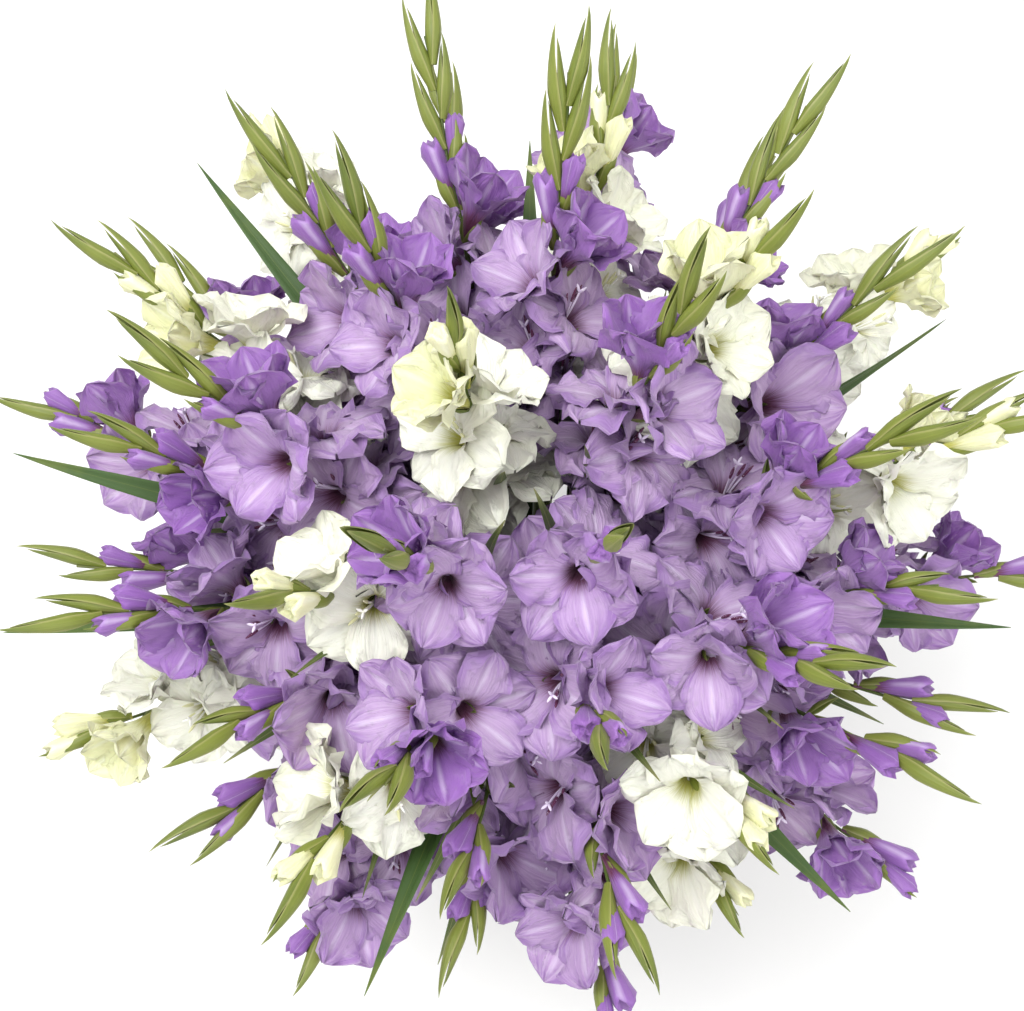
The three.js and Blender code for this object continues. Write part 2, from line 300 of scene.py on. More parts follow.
def tepal_surfaces(size, openness, dice):
    """Six tepals for each floret, as (n * 6, rows, columns, 3) points with z out of the mouth and y to the
    hooded tepal. A tepal's midline leaves the tube and flares by an angle that ramps up along its length;
    its width follows a skewed sine arch, its cross-section an arc that wraps the tube and opens flat, and
    its rim waves in and out along the normal."""
    angle, length, width, flare, cup, whorl = np.array(TEPALS, float).T
    n = len(size)

    def per_tepal(values):
        return np.broadcast_to(values, (n, 6)).reshape(-1, 1, 1)

    size, openness = np.repeat(size, 6).reshape(-1, 1, 1), np.repeat(openness, 6).reshape(-1, 1, 1)
    angle, length, width = per_tepal(np.radians(angle)), per_tepal(length), per_tepal(width)
    flare, cup, whorl = per_tepal(np.radians(flare)), per_tepal(cup), per_tepal(whorl)
    wobble = dice.normal(0, 1, (6, n * 6, 1, 1))
    s = np.linspace(0, 1, TEPAL_ROWS)[None, :, None]
    w = np.linspace(-1, 1, TEPAL_COLUMNS)[None, None, :]
    reach = floret_length() * size * length * (1 + 0.03 * wobble[0])
    end = flare * openness + math.radians(8) * wobble[1] * openness
    bend = TUBE_FLARE + (end - TUBE_FLARE) * smooth(TUBE_SHARE * 0.85, 0.68, s)
    step = reach / (TEPAL_ROWS - 1)

    def run(rate):
        middle = (rate[:, 1:] + rate[:, :-1]) / 2
        return np.concatenate([np.zeros_like(rate[:, :1]), np.cumsum(middle, axis=1)], axis=1) * step

    radius = TUBE_RADIUS * size + run(np.sin(bend))
    height = run(np.cos(bend))
    blade_share = np.clip((s - TUBE_SHARE * 0.8) / (1 - TUBE_SHARE * 0.8), 0, 1)
    arch = np.sin(np.pi * blade_share**1.4).clip(0) ** 0.8
    half_width = np.hypot(radius * 0.6 * (1 - smooth(0.3, 0.6, s)), TEPAL_HALF_WIDTH * size * width * arch)
    half_width = half_width + 0.0012 * size
    blade = smooth(TUBE_SHARE, 0.62, s)
    curl = (1 - blade) / radius + blade * cup * (1.4 - 0.6 * openness) / size
    turn = np.clip(w * half_width * curl, -2.2, 2.2)
    sideways = np.sin(turn) / curl
    inwards = (1 - np.cos(turn)) / curl
    around = np.arctan2(w * 0.9, (s - 0.5) / 0.5)
    rim = np.clip(np.hypot(w, np.clip((s - 0.5) / 0.5, 0, 1)), 0, 1.1) ** 2.5
    waves = np.sin(10 * around + 3 * wobble[2]) + 0.6 * np.sin(17 * around + 5 * wobble[3])
    waves = waves * np.clip(half_width / (0.6 * TEPAL_HALF_WIDTH * size), 0, 1) ** 1.5
    ruffle = RIM_WAVE * rim * waves * (0.6 + 0.4 * openness)
    lift = blade * size * (ruffle - MIDLINE_GROOVE * np.exp(-((w / 0.16) ** 2)))
    lift = lift - ROLL_BACK * size * openness * smooth(0.55, 1, s) * np.abs(w) ** 3
    lift = lift + whorl * size * (0.0008 + 0.0014 * blade)
    inwards = inwards + lift
    swing = angle + 0.08 * wobble[4] * blade
    radial = radius - np.cos(bend) * inwards
    z = height + np.sin(bend) * inwards
    x = radial * np.cos(swing) - sideways * np.sin(swing)
    y = radial * np.sin(swing) + sideways * np.cos(swing)
    return np.stack([x, y, z + 0 * x], -1)


def tepal_uv():
    """Across the tepal from 0 to 1, and along it from 0 at the base of the tube to 1 at the tip."""
    u, v = np.meshgrid(np.linspace(0, 1, TEPAL_COLUMNS), np.linspace(0, 1, TEPAL_ROWS))
    return np.stack([u, v], -1)


def floret_length():
    """Length of a lowest floret's tepals from the stem, from the panel."""
    return bpy.context.scene.gladiolus_sizes.floret_length


class Raceme:
    """Places and axes of the florets and buds along one spike, in two ranks that alternate. The gaps
    between them shrink slowly towards the tip: their distance along the head is
    1 - (1 - share) to the power 1.1. The lowest spikes and the white ones are further open."""

    def __init__(self, spike):
        sizes = bpy.context.scene.gladiolus_sizes
        start = STRAIGHT_FROM + FIRST_FLORET_RISE
        last = spike.reach - sizes.bract_length
        total = max(FEWEST_FLORETS, int(round((last - start) / MEAN_FLORET_GAP)))
        hangs_low = spike.way[2] < LOW_SPIKE
        open_share = sizes.open_share + (LOW_SPIKE_AHEAD if hangs_low else 0)
        is_white = SLOT_OF[spike.name] == "white_petals"
        open_share += WHITE_AHEAD * is_white
        half_open = sizes.half_open_florets if total > FEWEST_FLORETS + 1 else 1
        opened = int(round(total * open_share + spike.dice.uniform(-0.5, 0.5)))
        self.opened = min(opened, total - half_open - len(BUDS_SHOWING))
        order = np.arange(total)
        share = order / (total - 1)
        self.at = start + (last - start) * (1 - (1 - share) ** 1.1)
        dice = spike.dice.normal(0, 1, (5, total))
        rank = np.where(order % 2, -1.0, 1.0)
        self.stage = order - self.opened
        self.ripe = smooth(half_open + 0.5, -0.5, self.stage.astype(float))
        upright = spike.way[2]
        closed_turn = math.pi / 2
        turn = spike.rank_turn + (1 - self.ripe) * (closed_turn - spike.rank_turn) * 0.8
        turn = rank * (turn + 0.1 * dice[0])
        self.out = turned(spike.front[None], spike.way[None], turn[:, None])
        self.lean = 0.4 + 1.1 * upright**2 + 0.15 * share + (1 - self.ripe) * 1.6 + 0.1 * dice[1]
        self.base = spike.along(self.at)
        self.axis = unit(self.out + self.lean[:, None] * spike.way)
        roll = 0.12 * dice[2][:, None]
        tipwards = np.broadcast_to(spike.way, self.axis.shape)
        self.dorsal = turned(square_to(tipwards, self.axis), self.axis, roll)
        self.across = np.cross(self.dorsal, self.axis)
        grade = (self.at - start) / 0.25
        self.size = np.clip(1 - 0.13 * grade, 0.6, 1) * (1 + 0.05 * dice[3])
        self.size = self.size * (WHITE_SIZE if is_white else 1)
        self.share, self.total = share, total
        opening = np.where(self.stage < 0, 1 + 0.05 * dice[4], 0.6 - 0.26 * self.stage)
        self.openness = np.clip(opening, 0.14, 1.1)
        self.has_floret = self.stage < half_open
        self.bud_stage = self.stage - half_open


def build_florets(spike, material):
    """All the coloured tepals of one spike, from its open florets to its half-open ones."""
    raceme = Raceme(spike)
    pick = raceme.has_floret
    local = tepal_surfaces(raceme.size[pick], raceme.openness[pick], spike.dice)
    parts = (raceme.base, raceme.across, raceme.dorsal, raceme.axis)
    surface = place(local, *(np.repeat(part[pick], 6, axis=0) for part in parts))
    young = 1 - smooth(0.2, 0.8, raceme.openness[pick])
    tone = np.repeat(young + 0.12 * spike.dice.normal(0, 1, pick.sum()), 6)
    patchwork = Patchwork()
    patchwork.add_sheets(surface, PETAL_HALF_THICKNESS, tepal_uv(), tone)
    patchwork.build(f"{spike.name}_florets", material, [spike.name])


# ---------------------------------------------------------------- stamens

FILAMENT_STEPS, FILAMENT_SIDES = 9, 5
# Sideways share, reach as a share of the floret, radius, and 1 for the style.
THREADS = ((-0.4, 0.52, 0.0009, 0), (0.0, 0.54, 0.0009, 0), (0.4, 0.52, 0.0009, 0), (0.1, 0.64, 0.0009, 1))
ANTHER = (0.011, 0.0014)  # length and radius
STYLE_LOBE = (0.007, 0.0013)


def build_stamens(spike, material):
    """Three filaments with long anthers and a three-lobed style in each open floret, all arched under the
    hooded tepal. A filament is a parabola in the floret's own axes; an anther is a spindle on its end."""
    raceme = Raceme(spike)
    patchwork = Patchwork()
    t = np.linspace(0, 1, FILAMENT_STEPS)[:, None]
    for i in np.flatnonzero(raceme.has_floret & (raceme.openness > 0.8)):
        across, dorsal, axis, base = raceme.across[i], raceme.dorsal[i], raceme.axis[i], raceme.base[i]
        length = floret_length() * raceme.size[i]
        for fan, reach, radius, is_style in THREADS:
            sway = fan + 0.06 * spike.dice.normal()
            path = (
                base
                + axis * length * reach * t
                + dorsal * length * (0.13 * t**1.8)
                + across * length * 0.26 * sway * t**1.8
            )
            swell = np.full(FILAMENT_STEPS, radius)
            patchwork.add_tubes(swept_rings(path, swell, FILAMENT_SIDES, across)[None], 0.0)
            end, forward = path[-1], unit(path[-1] - path[-2])
            tips = [(forward, *ANTHER, 1.0)]
            if is_style:
                spread = [turned(square_to(dorsal, forward), forward, 2.1 * lobe) for lobe in range(3)]
                tips = [(unit(forward + 0.9 * way), *STYLE_LOBE, 0.2) for way in spread]
            for way, size, thick, tone in tips:
                along = np.linspace(-0.35 if not is_style else 0, 1, 6)[:, None]
                spindle = thick * np.sin(np.pi * np.linspace(0.08, 0.95, 6)) ** 0.6
                hint = square_to(across, way)
                rings = swept_rings(end + way * size * along, spindle, FILAMENT_SIDES, hint)
                patchwork.add_tubes(rings[None], tone)
    patchwork.build(f"{spike.name}_stamens", material, [spike.name])


# ---------------------------------------------------------------- stems, bracts and buds

BRACT_ROWS, BRACT_COLUMNS = 12, 7
BRACT_WRAP = 2.0  # radians that a bract reaches round its bud on each side
INNER_BRACT = (0.88, 0.85)  # length and radius beside the outer bract's
BRACT_HALF_THICKNESS = 0.0004
ZIGZAG, ZIGZAG_STEP = 0.0012, 0.02  # sideways, and along the stem
STEM_SIDES = 10
STEM_LEAF_ROWS = 16
STEM_LEAF_LENGTH = 0.21
# Length and radius of the buds that show their colour.
BUDS_SHOWING = ((0.066, 0.0098), (0.057, 0.0080))
STEM_LEAF_HALF_WIDTH = 0.009


def bract_surfaces(length, radius, wrap, closed, bow):
    """Pointed sheaths as (n, rows, columns, 3) points with z along the bud and y away from the stem. The
    cross-section is an arc about the bud; its radius swells over the lowest third and then runs out to a
    long point, while a keel stands up along the middle. Closed, it bows over its bud, by 1 to its own side
    or -1 to the other; open, it follows the widening tube of its floret."""
    length, radius, wrap, closed = (np.reshape(part, (-1, 1, 1)) for part in (length, radius, wrap, closed))
    s = np.linspace(0, 1, BRACT_ROWS)[None, :, None]
    w = np.linspace(-1, 1, BRACT_COLUMNS)[None, None, :]
    swell = radius * (0.4 + 0.6 * smooth(0, 0.42, s)) * (1 - s**1.7) ** 0.9 * 1.2 + 0.0002
    angle = w * wrap * (1 - 0.35 * s)
    keel = 1 + 0.14 * np.exp(-((w / 0.22) ** 2)) * (0.3 + s)
    x = swell * keel * np.sin(angle)
    bowed = closed * bow * (0.10 * s - 0.09 * s**2) + (1 - closed) * 0.3 * s
    y = swell * keel * np.cos(angle) + length * bowed
    z = length * s + 0 * x
    return np.stack([x, y, z], -1)


def bud_rings(length, radius, sides=12, steps=14):
    """Rolled buds as rings with z along the bud. A bud widens from its bracts to a blunt end that rolls
    back into itself, and three folds wind a fifth of a turn round it."""
    length, radius = np.reshape(length, (-1, 1, 1)), np.reshape(radius, (-1, 1, 1))
    s = np.linspace(0, 1, steps)[None, :, None]
    angle = np.linspace(0, 2 * np.pi, sides, endpoint=False)[None, None, :]
    swell = radius * (0.3 + 0.7 * smooth(0, 0.86, s)) * (1 - 0.6 * smooth(0.88, 1.0, s))
    fold = 1 + (0.10 + 0.16 * smooth(0.6, 0.9, s)) * np.cos(3 * angle - 4 * s)
    x, y = swell * fold * np.cos(angle), swell * fold * np.sin(angle)
    folded_end = radius * 0.45 * smooth(0.7, 0.9, s) * np.cos(3 * angle)
    height = length * (s - 0.14 * smooth(0.9, 1.0, s)) + folded_end
    return np.stack([x, y, height], -1)


def bract_uv(rows):
    """Across the bract from 0 to 1, and along it from its foot to its point."""
    u, v = np.meshgrid(np.linspace(0, 1, BRACT_COLUMNS), np.linspace(0, 1, rows))
    return np.stack([u, v], -1)


def build_greens(spike, material):
    """The whole stem, the pair of bracts under each floret and bud, and one leaf sheathing the stem."""
    raceme = Raceme(spike)
    patchwork = Patchwork()
    sizes = bpy.context.scene.gladiolus_sizes
    path = spike.centre_line(sizes.bract_length * 0.7)
    travelled = np.concatenate([[0], np.cumsum(np.linalg.norm(np.diff(path, axis=0), axis=1))])
    share = travelled / travelled[-1]
    radius = sizes.stem_diameter / 2 * (1 - 0.15 * share - 0.55 * smooth(0.55, 1.0, share))
    zigzag = ZIGZAG * np.sin(travelled / ZIGZAG_STEP) * smooth(0.55, 0.7, share)
    path = path + spike.side * zigzag[:, None]
    patchwork.add_tubes(swept_rings(path, radius, STEM_SIDES, spike.side)[None], 0.15)
    length = bract_lengths(raceme) * (1 + 0.05 * spike.dice.normal(0, 1, raceme.total))
    closed = 1.0 - raceme.has_floret
    thick = sizes.bract_width / 2 * (0.6 + 0.4 * np.minimum(1, length / sizes.bract_length))
    lean, away, across, foot = bud_axes(spike, raceme)
    tone = 0.4 + 0.5 * (1 - raceme.ripe) + 0.1 * spike.dice.normal(0, 1, raceme.total)
    outer = place(bract_surfaces(length, thick, BRACT_WRAP, closed, 1.0), foot, across, away, lean)
    patchwork.add_sheets(outer, BRACT_HALF_THICKNESS, bract_uv(BRACT_ROWS), tone)
    shorter, narrower = INNER_BRACT
    inner = bract_surfaces(length * shorter, thick * narrower, BRACT_WRAP, closed, -0.9)
    inner = place(inner, foot, -across, -away, lean)
    patchwork.add_sheets(inner, BRACT_HALF_THICKNESS, bract_uv(BRACT_ROWS), tone - 0.15)
    patchwork.add_sheets(stem_leaf(spike)[None], 0.0005, bract_uv(STEM_LEAF_ROWS), 0.05)
    patchwork.build(f"{spike.name}_greens", material, [spike.name])


def stem_leaf(spike):
    """One narrow leaf that leaves the stem below its florets. It follows the head behind the florets and
    bows away from it as the square of its length; its section is a V."""
    s = np.linspace(0, 1, STEM_LEAF_ROWS)[:, None]
    turn = spike.dice.uniform(-0.8, 0.8)
    away = turned(-spike.front, spike.way, turn)
    across = np.cross(away, spike.way)
    path = spike.along(STRAIGHT_FROM - 0.01 + STEM_LEAF_LENGTH * s[:, 0]) + away * (0.003 + 0.06 * s**2)
    half_width = STEM_LEAF_HALF_WIDTH * (0.5 + 0.5 * smooth(0, 0.4, s)) * (1 - s**2.4) + 0.0003
    w = np.linspace(-1, 1, BRACT_COLUMNS)[None, :, None]
    return path[:, None] + half_width[:, None] * (w * across + 0.35 * np.abs(w) * -away)


def bract_lengths(raceme):
    """Bracts get a little shorter towards the tip. Those of a bud that shows its colour end well below its
    blunt end, and those of a floret end with its tube."""
    closed = bpy.context.scene.gladiolus_sizes.bract_length * (1.05 - 0.1 * raceme.share)
    closed = closed * np.select([raceme.bud_stage == 0, raceme.bud_stage == 1], [0.62, 0.78], 1.0)
    return np.where(raceme.has_floret, floret_length() * raceme.size * 0.36, closed)


def bud_axes(spike, raceme):
    """The way each bud points, away from the stem, across it, and where it leaves the stem. A closed bud
    hugs the stem and a floret's bracts follow its tube."""
    hug = raceme.lean + 2.9 * ~raceme.has_floret + 3.0 * smooth(0.75, 1.0, raceme.share)
    lean = unit(raceme.out + hug[:, None] * spike.way)
    away = square_to(raceme.out, lean)
    return lean, away, np.cross(away, lean), raceme.base + away * 0.0015 * ~raceme.has_floret[:, None]


def build_buds(spike, material):
    """The coloured blunt ends of the next buds to open, which stand out of their bracts less and less."""
    raceme = Raceme(spike)
    stage = raceme.bud_stage
    pick = (stage >= 0) & (stage < len(BUDS_SHOWING))
    length, radius = np.array(BUDS_SHOWING)[stage[pick]].T
    lean, away, across, foot = (part[pick] for part in bud_axes(spike, raceme))
    rings = place(bud_rings(length, radius), foot, across, away, lean)
    patchwork = Patchwork()
    patchwork.add_tubes(rings, 0.95 - 0.1 * stage[pick])
    patchwork.build(f"{spike.name}_buds", material, [spike.name])


# ---------------------------------------------------------------- loose leaves

LEAF_COLUMNS = 9
LEAF_FOOT_HALF_WIDTH = 0.0036
LEAF_HALF_THICKNESS = 0.0007
LEAF_DROOP = 0.02  # at the tip


def build_leaf(leaf, material):
    """A sword leaf from its cut foot to its point: its width swells past the tie and tapers to the tip, and
    its section is a shallow V that turns slowly along the blade."""
    path = leaf.centre_line(0.0, low_steps=8, bend_steps=12, head_steps=22)
    travelled = np.concatenate([[0], np.cumsum(np.linalg.norm(np.diff(path, axis=0), axis=1))])
    share = travelled / travelled[-1]
    sizes = bpy.context.scene.gladiolus_sizes
    blade = sizes.leaf_width / 2 - LEAF_FOOT_HALF_WIDTH
    half_width = LEAF_FOOT_HALF_WIDTH + blade * smooth(0.4, 0.66, share)
    half_width = half_width * (1 - np.clip((share - 0.6) / 0.4, 0, 1) ** 2.2) + 0.0003
    tangent = unit(np.gradient(path, axis=0))
    side = square_to(np.broadcast_to(leaf.side, path.shape), tangent)
    turn = 0.5 * leaf.dice.normal() * smooth(0.45, 1, share)[:, None]
    side = turned(side, tangent, turn)
    above = np.cross(side, tangent)
    w = np.linspace(-1, 1, LEAF_COLUMNS)[None, :, None]
    droop = -LEAF_DROOP * smooth(0.6, 1, share)[:, None] ** 2 * UP
    fold = 0.25 * np.abs(w) + 0.05 * np.cos(3 * np.pi * w)
    width = half_width[:, None, None]
    surface = (path + droop)[:, None] + side[:, None] * w * width + above[:, None] * fold * width
    u, v = np.meshgrid(np.linspace(0, 1, LEAF_COLUMNS), share)
    patchwork = Patchwork()
    patchwork.add_sheets(surface[None], LEAF_HALF_THICKNESS, np.stack([u, v], -1), 0.0)
    patchwork.build(f"{leaf.name}_blade", material, [leaf.name])


# ---------------------------------------------------------------- the tie


def build_tie(material):
    """Turns of twine wound side by side round the waist as a slow helix, and an overhand knot on the front
    with two short ends. The twine's section has three strands that wind along it."""
    sizes = bpy.context.scene.gladiolus_sizes
    radius = sizes.twine_diameter / 2
    turns = int((Tie.height - 2 * radius) / sizes.twine_diameter)
    coil = Tie.radius - radius * 1.1
    angle = np.linspace(-np.pi / 2, -np.pi / 2 + 2 * np.pi * turns, turns * 72)
    rise = np.linspace(-1, 1, len(angle)) * (Tie.height / 2 - radius)
    wound = np.stack([coil * np.cos(angle), coil * np.sin(angle), rise], -1) + Tie.middle
    patchwork = Patchwork()
    patchwork.add_tubes(twine_rings(wound, radius)[None], 0.0)
    t = np.linspace(0, 2 * np.pi * 1.35, 90)
    sideways, depth = 1.1 * np.sin(t) + 0.3 * np.sin(2 * t), 0.42 * np.cos(3 * t)
    loop = np.stack([sideways, depth, 1.25 * np.cos(t) * np.sin(0.5 * t)], -1)
    front = Tie.middle + np.array([0, -Tie.radius - 2.2 * radius, 0])
    knot = front + loop * radius * 3.4 * np.array([1, 0.8, 1])
    patchwork.add_tubes(twine_rings(knot, radius)[None], 0.4)
    for hand in (-1, 1):
        s = np.linspace(0, 1, 24)[:, None]
        hang = np.hstack([hand * (0.004 + 0.016 * s), -0.003 * np.sin(3 * s), -0.002 - 0.042 * s**1.3])
        patchwork.add_tubes(twine_rings(front + hang, radius * 0.9)[None], 0.7)
    patchwork.build("twine_windings", material, [TIE_NODE])


def twine_rings(path, radius, sides=9):
    """Rings along a path whose radius has three bumps, turned a little further at each ring."""
    tangent = unit(np.gradient(path, axis=0))
    hint = np.where(np.abs(tangent[:, 2:]) > 0.9, np.array([[1.0, 0, 0]]), UP)
    side = square_to(hint, tangent)
    other = np.cross(tangent, side)
    travelled = np.concatenate([[0], np.cumsum(np.linalg.norm(np.diff(path, axis=0), axis=1))])
    angle = np.linspace(0, 2 * np.pi, sides, endpoint=False)[None, :]
    wind = travelled[:, None] / (radius * 5)
    bumps = radius * (0.93 + 0.12 * np.cos(3 * (angle - wind)))
    ring = np.cos(angle)[..., None] * side[:, None] + np.sin(angle)[..., None] * other[:, None]
    return path[:, None] + ring * bumps[..., None]


# ---------------------------------------------------------------- materials


def new_group(name, inputs, outputs):
    """An empty shader node group with named inputs (name, kind, default) and outputs (name, kind)."""
    group = bpy.data.node_groups.new(name, "ShaderNodeTree")
    for label, kind, value in inputs:
        socket = group.interface.new_socket(label, in_out="INPUT", socket_type=kind)
        socket.default_value = value
    for label, kind in outputs:
        group.interface.new_socket(label, in_out="OUTPUT", socket_type=kind)
    group.nodes.new("NodeGroupInput")
    group.nodes.new("NodeGroupOutput")
    return group


class Wiring:
    """Short ways to add and join nodes in one node tree."""

    def __init__(self, tree):
        self.tree = tree

    def node(self, kind, **settings):
        made = self.tree.nodes.new(kind)
        for key, value in settings.items():
            setattr(made, key, value)
        return made

    def feed(self, socket, value):
        """Joins an output socket to an input, or sets the input's own value."""
        if isinstance(value, bpy.types.NodeSocket):
            self.tree.links.new(value, socket)
        else:
            socket.default_value = value

    def math(self, operation, *values, clamp=False):
        made = self.node("ShaderNodeMath", operation=operation, use_clamp=clamp)
        for socket, value in zip(made.inputs, values):
            self.feed(socket, value)
        return made.outputs[0]

    def ramp(self, value, low, high, smoothly=True):
        """0 at low to 1 at high."""
        made = self.node("ShaderNodeMapRange", interpolation_type="SMOOTHSTEP" if smoothly else "LINEAR")
        self.feed(made.inputs["Value"], value)
        self.feed(made.inputs["From Min"], low)
        self.feed(made.inputs["From Max"], high)
        return made.outputs["Result"]

    def mix(self, factor, first, second, blend="MIX"):
        made = self.node("ShaderNodeMix", data_type="RGBA", blend_type=blend, clamp_factor=True)
        self.feed(made.inputs["Factor"], factor)
        self.feed(made.inputs[6], first)
        self.feed(made.inputs[7], second)
        return made.outputs[2]

    def noise(self, vector, scale, detail=2.0):
        made = self.node("ShaderNodeTexNoise")
        self.feed(made.inputs["Vector"], vector)
        made.inputs["Scale"].default_value = scale
        made.inputs["Detail"].default_value = detail
        return made.outputs["Fac"]

    def uv(self):
        """The across and along values of the piece's own UV map."""
        split = self.node("ShaderNodeSeparateXYZ")
        self.feed(split.inputs[0], self.node("ShaderNodeUVMap", uv_map="Grain").outputs[0])
        return split.outputs[0], split.outputs[1]

    def vector(self, x, y, z=0.0):
        made = self.node("ShaderNodeCombineXYZ")
        for socket, value in zip(made.inputs, (x, y, z)):
            self.feed(socket, value)
        return made.outputs[0]

    def place(self):
        return self.node("ShaderNodeTexCoord").outputs["Object"]

    def tone(self):
        return self.node("ShaderNodeAttribute", attribute_name="tone").outputs["Fac"]


def parallel_veins():
    """Group: fine lines that run along a blade and fan with its width, with a midrib. Across and Along
    are the blade's own map; Count sets how many lines there are. Gives Veins and Midrib as masks."""
    group = bpy.data.node_groups.get("parallel veins")
    if group:
        return group
    number = "NodeSocketFloat"
    defaults = {"Across": 0.5, "Along": 0.5, "Count": 24.0, "Rib Width": 0.05}
    inputs = [(label, number, value) for label, value in defaults.items()]
    group = new_group("parallel veins", inputs, [("Veins", number), ("Midrib", number)])
    wires = Wiring(group)
    given = group.nodes["Group Input"].outputs
    stretched = wires.vector(
        wires.math("MULTIPLY", given["Across"], given["Count"]), wires.math("MULTIPLY", given["Along"], 1.6)
    )
    lines = wires.ramp(wires.noise(stretched, 1.0, 3.0), 0.42, 0.62)
    off_middle = wires.math("ABSOLUTE", wires.math("SUBTRACT", given["Across"], 0.5))
    rib = wires.math("SUBTRACT", 1.0, wires.ramp(off_middle, 0.0, given["Rib Width"]))
    wires.feed(group.nodes["Group Output"].inputs["Veins"], lines)
    wires.feed(group.nodes["Group Output"].inputs["Midrib"], rib)
    return group


def use_veins(wires, across, along, count, rib_width):
    """Adds the vein group to a material and gives its two masks."""
    made = wires.node("ShaderNodeGroup", node_tree=parallel_veins())
    for label, value in (("Across", across), ("Along", along), ("Count", count), ("Rib Width", rib_width)):
        wires.feed(made.inputs[label], value)
    return made.outputs["Veins"], made.outputs["Midrib"]


def new_material(name):
    """A material, its wiring and its own principled shader."""
    material = bpy.data.materials.new(name)
    material.use_nodes = True
    return material, Wiring(material.node_tree), material.node_tree.nodes["Principled BSDF"]


def bump(wires, shader, height, strength, distance):
    """Lets a height mask tilt the shader's normal."""
    made = wires.node("ShaderNodeBump")
    made.inputs["Strength"].default_value = strength
    made.inputs["Distance"].default_value = distance
    wires.feed(made.inputs["Height"], height)
    wires.feed(shader.inputs["Normal"], made.outputs[0])


def petal_material(name, pale, full, young, throat, rib, throat_end):
    """Petals: pale in the heart of the blade and fuller to the rim, a light midrib, fine fanning veins, a
    darker throat, and the deeper colour of young florets by their tone."""
    material, wires, shader = new_material(name)
    across, along = wires.uv()
    veins, midrib = use_veins(wires, across, along, 34.0, 0.075)
    folds, _ = use_veins(wires, across, along, 11.0, 0.05)
    tone = wires.tone()
    blotch = wires.noise(wires.place(), 38.0, 3.0)
    off_middle = wires.math("ABSOLUTE", wires.math("SUBTRACT", across, 0.5))
    to_rim = wires.math("MAXIMUM", wires.ramp(off_middle, 0.2, 0.5), wires.ramp(along, 0.66, 1.0))
    fullness = wires.math("MULTIPLY", to_rim, wires.math("ADD", 0.2, wires.math("MULTIPLY", folds, 0.6)))
    fullness = wires.math("ADD", fullness, wires.math("MULTIPLY", blotch, 0.5))
    fullness = wires.math("ADD", fullness, wires.math("MULTIPLY", veins, 0.22), clamp=True)
    colour = wires.mix(fullness, pale, full)
    colour = wires.mix(wires.math("MULTIPLY", wires.ramp(tone, 0.1, 1.0), 0.9), colour, young)
    rib_share = wires.math("MULTIPLY", midrib, wires.math("MULTIPLY", wires.ramp(along, 0.35, 0.6), 0.35))
    rib_share = wires.math("MULTIPLY", rib_share, wires.math("SUBTRACT", 1.0, wires.ramp(along, 0.8, 1.0)))
    colour = wires.mix(rib_share, colour, rib)
    wander = wires.math("ADD", along, wires.math("MULTIPLY", wires.math("SUBTRACT", veins, 0.5), 0.08))
    depth = wires.math("SUBTRACT", 1.0, wires.ramp(wander, throat_end * 0.5, throat_end))
    wires.feed(shader.inputs["Base Color"], wires.mix(depth, colour, throat))
    shader.inputs["Roughness"].default_value = 0.52
    shader.inputs["Subsurface Weight"].default_value = 0.3
    shader.inputs["Subsurface Radius"].default_value = (1.0, 0.8, 1.0)
    shader.inputs["Subsurface Scale"].default_value = 0.003
    shader.inputs["Sheen Weight"].default_value = 0.15
    relief = wires.math("SUBTRACT", wires.math("ADD", wires.math("MULTIPLY", veins, 0.3), folds), midrib)
    bump(wires, shader, relief, 0.5, 0.001)
    return material


def stamen_material(name, filament, anther):
    """Filaments pale at tone 0, stigma between, and anthers dark and grainy at tone 1."""
    material, wires, shader = new_material(name)
    grain = wires.noise(wires.place(), 900.0, 2.0)
    share = wires.ramp(wires.tone(), 0.3, 0.9)
    colour = wires.mix(share, filament, anther)
    dusted = wires.mix(wires.math("MULTIPLY", share, wires.ramp(grain, 0.6, 0.75)), colour, filament)
    wires.feed(shader.inputs["Base Color"], dusted)
    shader.inputs["Roughness"].default_value = 0.6
    bump(wires, shader, grain, 0.3, 0.0003)
    return material


def green_material(name, dark, light, edge, rib_width, count):
    """Stems, bracts and leaves: dark to light green by tone and mottling, parallel veins, a dry pale rim."""
    material, wires, shader = new_material(name)
    across, along = wires.uv()
    veins, midrib = use_veins(wires, across, along, count, rib_width)
    mottle = wires.noise(wires.place(), 24.0, 4.0)
    share = wires.math("ADD", wires.tone(), wires.math("MULTIPLY", wires.math("SUBTRACT", mottle, 0.5), 0.9))
    share = wires.math("ADD", share, wires.math("MULTIPLY", veins, 0.22))
    darker_end = wires.math("MULTIPLY", wires.ramp(along, 0.4, 1.0), 0.4)
    share = wires.math("SUBTRACT", share, darker_end, clamp=True)
    colour = wires.mix(share, dark, light)
    colour = wires.mix(wires.math("MULTIPLY", midrib, 0.35), colour, edge)
    off_middle = wires.math("ABSOLUTE", wires.math("SUBTRACT", across, 0.5))
    dry = wires.math("MULTIPLY", wires.ramp(off_middle, 0.4, 0.5), wires.ramp(wires.tone(), 0.3, 0.5))
    tip = wires.math("MULTIPLY", wires.ramp(along, 0.86, 1.0), wires.ramp(mottle, 0.35, 0.6))
    colour = wires.mix(wires.math("MULTIPLY", wires.math("MAXIMUM", dry, tip), 0.5), colour, edge)
    wires.feed(shader.inputs["Base Color"], colour)
    rough = wires.math("ADD", 0.36, wires.math("MULTIPLY", mottle, 0.22))
    wires.feed(shader.inputs["Roughness"], rough)
    shader.inputs["Subsurface Weight"].default_value = 0.12
    shader.inputs["Subsurface Radius"].default_value = (0.6, 1.0, 0.3)
    shader.inputs["Subsurface Scale"].default_value = 0.002
    bump(wires, shader, veins, 0.4, 0.0004)
    return material


